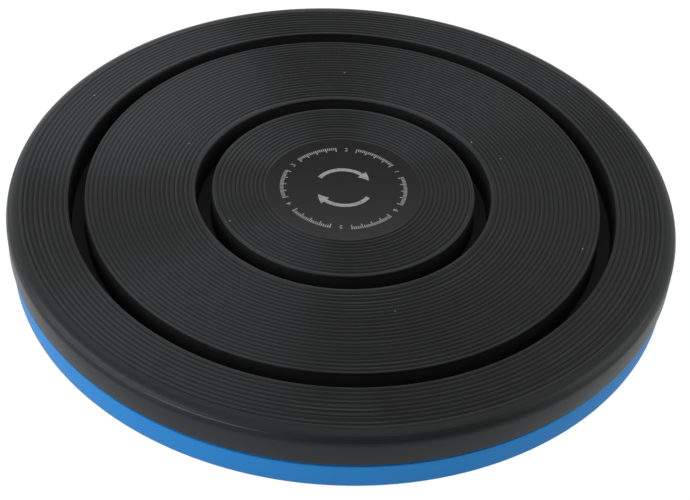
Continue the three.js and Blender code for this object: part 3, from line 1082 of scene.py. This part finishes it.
def threaded_screw():
    """Head and shank as one grid, with the radius cut back by depth (1 - |2 w - 1|) along the shank.

    Here w is height / pitch - angle / full turn, wrapped to the range from 0 to 1.
    """
    head = rounded([
        (0, screw_low.z, 0),
        (head_radius, screw_low.z, head_dome),
        (head_radius, head_top, small_rounding),
        (shank_radius, head_top, 0),
    ])
    rise = np.linspace(head_top, screw_high.z, thread_rows)[1:]
    point = np.clip((screw_high.z - rise) / (shank_radius * tip_share), 0, 1)
    shank = np.stack([shank_radius * (1 - tip_share + tip_share * point), rise], axis=1)
    radius, height = np.concatenate([head, shank, [(0, screw_high.z)]]).T[:, :, None]
    angle = ring_angles(small_sides)
    wrapped = (height / thread_pitch - angle / (2 * math.pi)) % 1
    fade = np.clip((height - head_top) / thread_pitch, 0, 1) * (radius > 0)
    reach = radius - thread_depth * fade * (1 - np.abs(2 * wrapped - 1))
    reach = np.where(radius > shank_radius, radius, np.maximum(reach, 0))
    return skin(around(reach, angle, height))


def drive_block(angle):
    """One bar of the cross: wide at the screw's face and narrower where it ends inside."""
    rows = [(-cut_overrun, 1.0), (0, 1.0), (drive_depth, 1 - drive_taper_share)]
    corners = np.array([(-1, -1), (1, -1), (1, 1), (-1, 1)])
    layers = [(corners * (drive_half * share, drive_thick * share), screw_low.z + rise)
              for rise, share in rows]
    return moved(layered(layers), angle=angle)


screw_mesh = carved("screw_m5", threaded_screw(), removed=[drive_block(0), drive_block(math.pi / 2)])
piece("screw_m5", screw_mesh, "turntable", zinc_steel, ["centre_screw"])


def knurled_insert():
    """A tube whose outside has two knurled bands, cut back by depth (1 - |wave times other wave|).

    The two waves are the sines of half the count times (angle + climb) and (angle - climb).
    """
    insert_bore = shank_radius + thread_gap
    inside = rounded([
        (insert_high.x - small_rounding, insert_high.z, 0),
        (insert_bore, insert_high.z, small_rounding),
        (insert_bore, insert_low.z, small_rounding),
        (insert_high.x - small_rounding, insert_low.z, 0),
    ])
    rise = np.linspace(insert_low.z, insert_high.z, insert_rows)
    share = (rise - insert_low.z) / (insert_high.z - insert_low.z)
    band = np.any([np.abs(share - middle) < knurl_half_share for middle in knurl_middle_shares], axis=0)
    waist = np.abs(share - 0.5) < waist_half_share
    outside = np.stack([insert_high.x - small_rounding * waist * 2, rise], axis=1)
    radius, height = np.concatenate([outside, inside[1:-1]]).T[:, :, None]
    knurled = np.concatenate([band, np.zeros(len(inside) - 2, bool)])[:, None]
    angle = ring_angles(small_sides * 2)
    climb = (height - insert_low.z) / insert_high.x
    waves = np.abs(np.sin(knurl_count / 2 * (angle + climb)) * np.sin(knurl_count / 2 * (angle - climb)))
    reach = radius - knurl_depth * knurled * (1 - waves)
    return skin(around(reach, angle, height), closed_rows=True)


piece("insert_brass", knurled_insert(), "turntable", brass, ["threaded_insert"])

# %% [markdown]
# ## The print in the middle
#
# The smooth middle of the tread carries a grey print. Here it is a plain dial: six groups of marks in
# a ring, a number between each two groups, and two curved arrows that point the same way round. It
# could be a picture on the surface, but thin solids of ink stay sharp at any distance. The middle of
# the tread is sunk by a hair, so that the ink lies below the crests and no foot rubs it.

# %% Dial print
ink_bottom = tread_height - print_sink
ink_thickness = 0.03e-3
mark_outer = 24e-3
mark_inner_long = 21.6e-3
mark_inner_short = 22.6e-3
mark_width = 0.42e-3
group_count, group_marks = 6, 21
mark_pitch = math.radians(2)
long_mark_step = 5
arrow_radius = 10.5e-3
arrow_stroke = 1.7e-3
arrow_head = 4.6e-3
arrow_from, arrow_to = math.radians(152), math.radians(28)
arrow_head_angle = math.radians(24)
arrow_steps, arrow_head_steps = 40, 9
arrow_tip_share = 0.02
number_size = 2.9e-3
number_radius = 22.8e-3


def flat_bar(inner, outer, width, angle):
    """A thin radial bar of ink."""
    corners = np.array([(inner, -width / 2), (outer, -width / 2), (outer, width / 2), (inner, width / 2)])
    return moved(layered([(corners, ink_bottom), (corners, ink_bottom + ink_thickness)]), angle=angle)


def curved_arrow(turn):
    """A stroke along an arc that ends in a head: the head is widest at its root and closes to a point."""
    root = arrow_to + arrow_head_angle
    shaft, tip = np.linspace(arrow_from, root, arrow_steps), np.linspace(root, arrow_to, arrow_head_steps)
    angle = np.concatenate([shaft, tip])[:, None]
    stroke = np.full(arrow_steps, arrow_stroke)
    head = arrow_head * np.linspace(1, arrow_tip_share, arrow_head_steps)
    half = np.concatenate([stroke, head])[:, None] / 2
    radius = arrow_radius + np.array([-1, 1, 1, -1]) * half
    up = ink_bottom + ink_thickness * np.array([0, 0, 1, 1])
    return moved(swept(around(radius, angle, up)), angle=turn)


bars = []
for group in ring_angles(group_count):
    for step in range(group_marks):
        inner = mark_inner_long if step % long_mark_step == 0 else mark_inner_short
        bars.append(flat_bar(inner, mark_outer, mark_width, group + (step - group_marks // 2) * mark_pitch))
print("marks on the dial:", len(bars))
piece("dial_marks", together(bars), "turntable", grey_ink)
piece("turn_arrows", together([curved_arrow(0), curved_arrow(math.pi)]), "turntable", grey_ink)


# %% Dial numbers
def dial_number(value, angle):
    """A number as a thin mesh, standing with its foot towards the middle of the dial."""
    text = bpy.data.curves.new("number", "FONT")
    text.body, text.size, text.extrude = str(value), number_size, ink_thickness / 2
    text.align_x, text.align_y = "CENTER", "CENTER"
    holder = new_object("number", text)
    mesh = settled_mesh(holder)
    bpy.data.objects.remove(holder)
    place = around(number_radius, angle, ink_bottom + ink_thickness / 2)
    mesh.transform(Matrix.Translation(place) @ Matrix.Rotation(angle - math.pi / 2, 4, "Z"))
    piece(f"dial_number_{value}", mesh, "turntable", grey_ink)


for value, angle in enumerate(ring_angles(group_count, 0.5), 1):
    dial_number(value, angle)

# %% [markdown]
# ## Floor, world and lamps
#
# The disc stands in a bright white studio. The floor is a pale matt surface for the light that
# bounces off it, and pure white for the camera and for reflections, with a share of its shaded
# surface left in so that the disc keeps its shadow. Close to the disc the floor looks darker in
# reflections, because the disc itself shades it there. The world is white in the same way and lights
# the disc at a plain level. Large soft lamps on the left, the right, above and behind shape the rim.

# %% Floor and world
floor_half = 4.0
floor_shade = 0.14
mirror_shade, mirror_reach = 0.6, 0.22
floor_colour = grey(0.8)
world_level = 0.6


def seen_directly(network):
    """1 for rays from the camera, from reflections and through glass, and 0 for the light that fills."""
    rays = [network.node("ShaderNodeLightPath", output=name)
            for name in ("Is Camera Ray", "Is Glossy Ray", "Is Transmission Ray")]
    seen = rays[0] + rays[1] + rays[2]
    return seen.maths("MINIMUM", seen, 1)


def bare_network(owner):
    """The node tree of a new material or world, with nothing in it yet."""
    owner.use_nodes = True
    owner.node_tree.nodes.clear()
    return Network(owner.node_tree)


def studio_floor():
    """White for rays that see it directly, and a matt surface for the light that fills."""
    paper = bpy.data.materials.new("studio_floor")
    net = bare_network(paper)
    matt = net.node("ShaderNodeBsdfDiffuse", None, {"Color": floor_colour})
    soft = net.node("ShaderNodeBsdfDiffuse", None, {"Color": grey(floor_shade)})
    _, axes = net.own_place()
    shaded = net.near(axes, (0, 0), mirror_reach) * net.node("ShaderNodeLightPath", output="Is Glossy Ray")
    white = net.mix(shaded, grey(1), grey(mirror_shade))
    glow = net.node("ShaderNodeEmission", None, {"Color": white, "Strength": 1 - floor_shade / 2})
    bright = net.node("ShaderNodeAddShader", None, {0: soft, 1: glow})
    both = net.node("ShaderNodeMixShader", None, {0: seen_directly(net), 1: matt, 2: bright})
    net.node("ShaderNodeOutputMaterial", None, {"Surface": both})
    return paper


corner = floor_half * np.array([(-1, -1, 0), (1, -1, 0), (1, 1, 0), (-1, 1, 0)])
floor_mesh = bpy.data.meshes.new("floor")
floor_mesh.from_pydata(corner.tolist(), [], [(0, 1, 2, 3)])
floor_mesh.materials.append(studio_floor())
floor = new_object("floor", floor_mesh)

scene.world = bpy.data.worlds.new("studio")
sky = bare_network(scene.world)
seen = seen_directly(sky)
dim = sky.node("ShaderNodeBackground", None, {"Color": grey(1), "Strength": world_level})
white = sky.node("ShaderNodeBackground", None, {"Color": grey(1), "Strength": 1})
both = sky.node("ShaderNodeMixShader", None, {0: seen, 1: dim, 2: white})
sky.node("ShaderNodeOutputWorld", None, {"Surface": both})
print("floor", 2 * floor_half, "m across, world level", world_level)

# %% Lamps
lamps = {
    "lamp_left": dict(place=(-0.82, -0.3, 0.46), size=(1.0, 0.8), power=7.6, colour=(0.93, 0.97, 1)),
    "lamp_right": dict(place=(0.9, 0.0, 0.42), size=(0.5, 0.7), power=2.4, colour=(1, 1, 1)),
    "lamp_top": dict(place=(-0.1, -0.1, 1.4), size=(1.0, 1.0), power=0.5, colour=(1, 1, 1)),
    "lamp_back": dict(place=(-0.49, 0.92, 0.34), size=(1.4, 0.4), power=0.7, colour=(0.97, 0.99, 1)),
}
aim = np.array([0, 0, tread_height])
for name, lamp in lamps.items():
    light = bpy.data.lights.new(name, "AREA")
    light.shape = "RECTANGLE"
    light.size, light.size_y = lamp["size"]
    light.energy, light.color = lamp["power"], lamp["colour"]
    direction = Vector(aim - np.array(lamp["place"]))
    turn = direction.to_track_quat("-Z", "Y").to_matrix().to_4x4()
    new_object(name, light).matrix_world = Matrix.Translation(lamp["place"]) @ turn
print("lamps:", list(lamps))

# %% [markdown]
# A black rim shows little but what it mirrors, and in an all white room it looks washed out. A studio
# hangs a black cloth where the rim should show a dark line. Here it is a curved screen in front of the
# disc. Only reflections see it, so it takes no light away.

# %% A black screen for the reflections
screen_distance = 0.6
screen_foot, screen_top = 1e-3, 0.9
screen_from, screen_to = math.radians(262), math.radians(326)
screen_steps = 40


def screen():
    """An upright strip along an arc: x = distance cos a, y = distance sin a, from its foot to its top."""
    angle = np.linspace(screen_from, screen_to, screen_steps)
    line = screen_distance * np.stack([np.cos(angle), np.sin(angle)], axis=1)
    rows = [np.column_stack([line, np.full(screen_steps, height)]) for height in (screen_foot, screen_top)]
    first = np.arange(screen_steps - 1)
    faces = np.stack([first, first + 1, first + 1 + screen_steps, first + screen_steps], axis=1)
    return np.concatenate(rows), faces


black_cloth = bpy.data.materials.new("black_cloth")
cloth = bare_network(black_cloth)
dark = cloth.node("ShaderNodeBsdfDiffuse", None, {"Color": grey(0)})
cloth.node("ShaderNodeOutputMaterial", None, {"Surface": dark})
screen_mesh = mesh_of("black_screen", screen())
screen_mesh.materials.append(black_cloth)
hung = new_object("black_screen", screen_mesh)
hung.visible_camera = hung.visible_diffuse = hung.visible_shadow = hung.visible_transmission = False

scene.view_settings.view_transform = "Standard"
print("screen", screen_distance, "m from the axis and", screen_top, "m high")
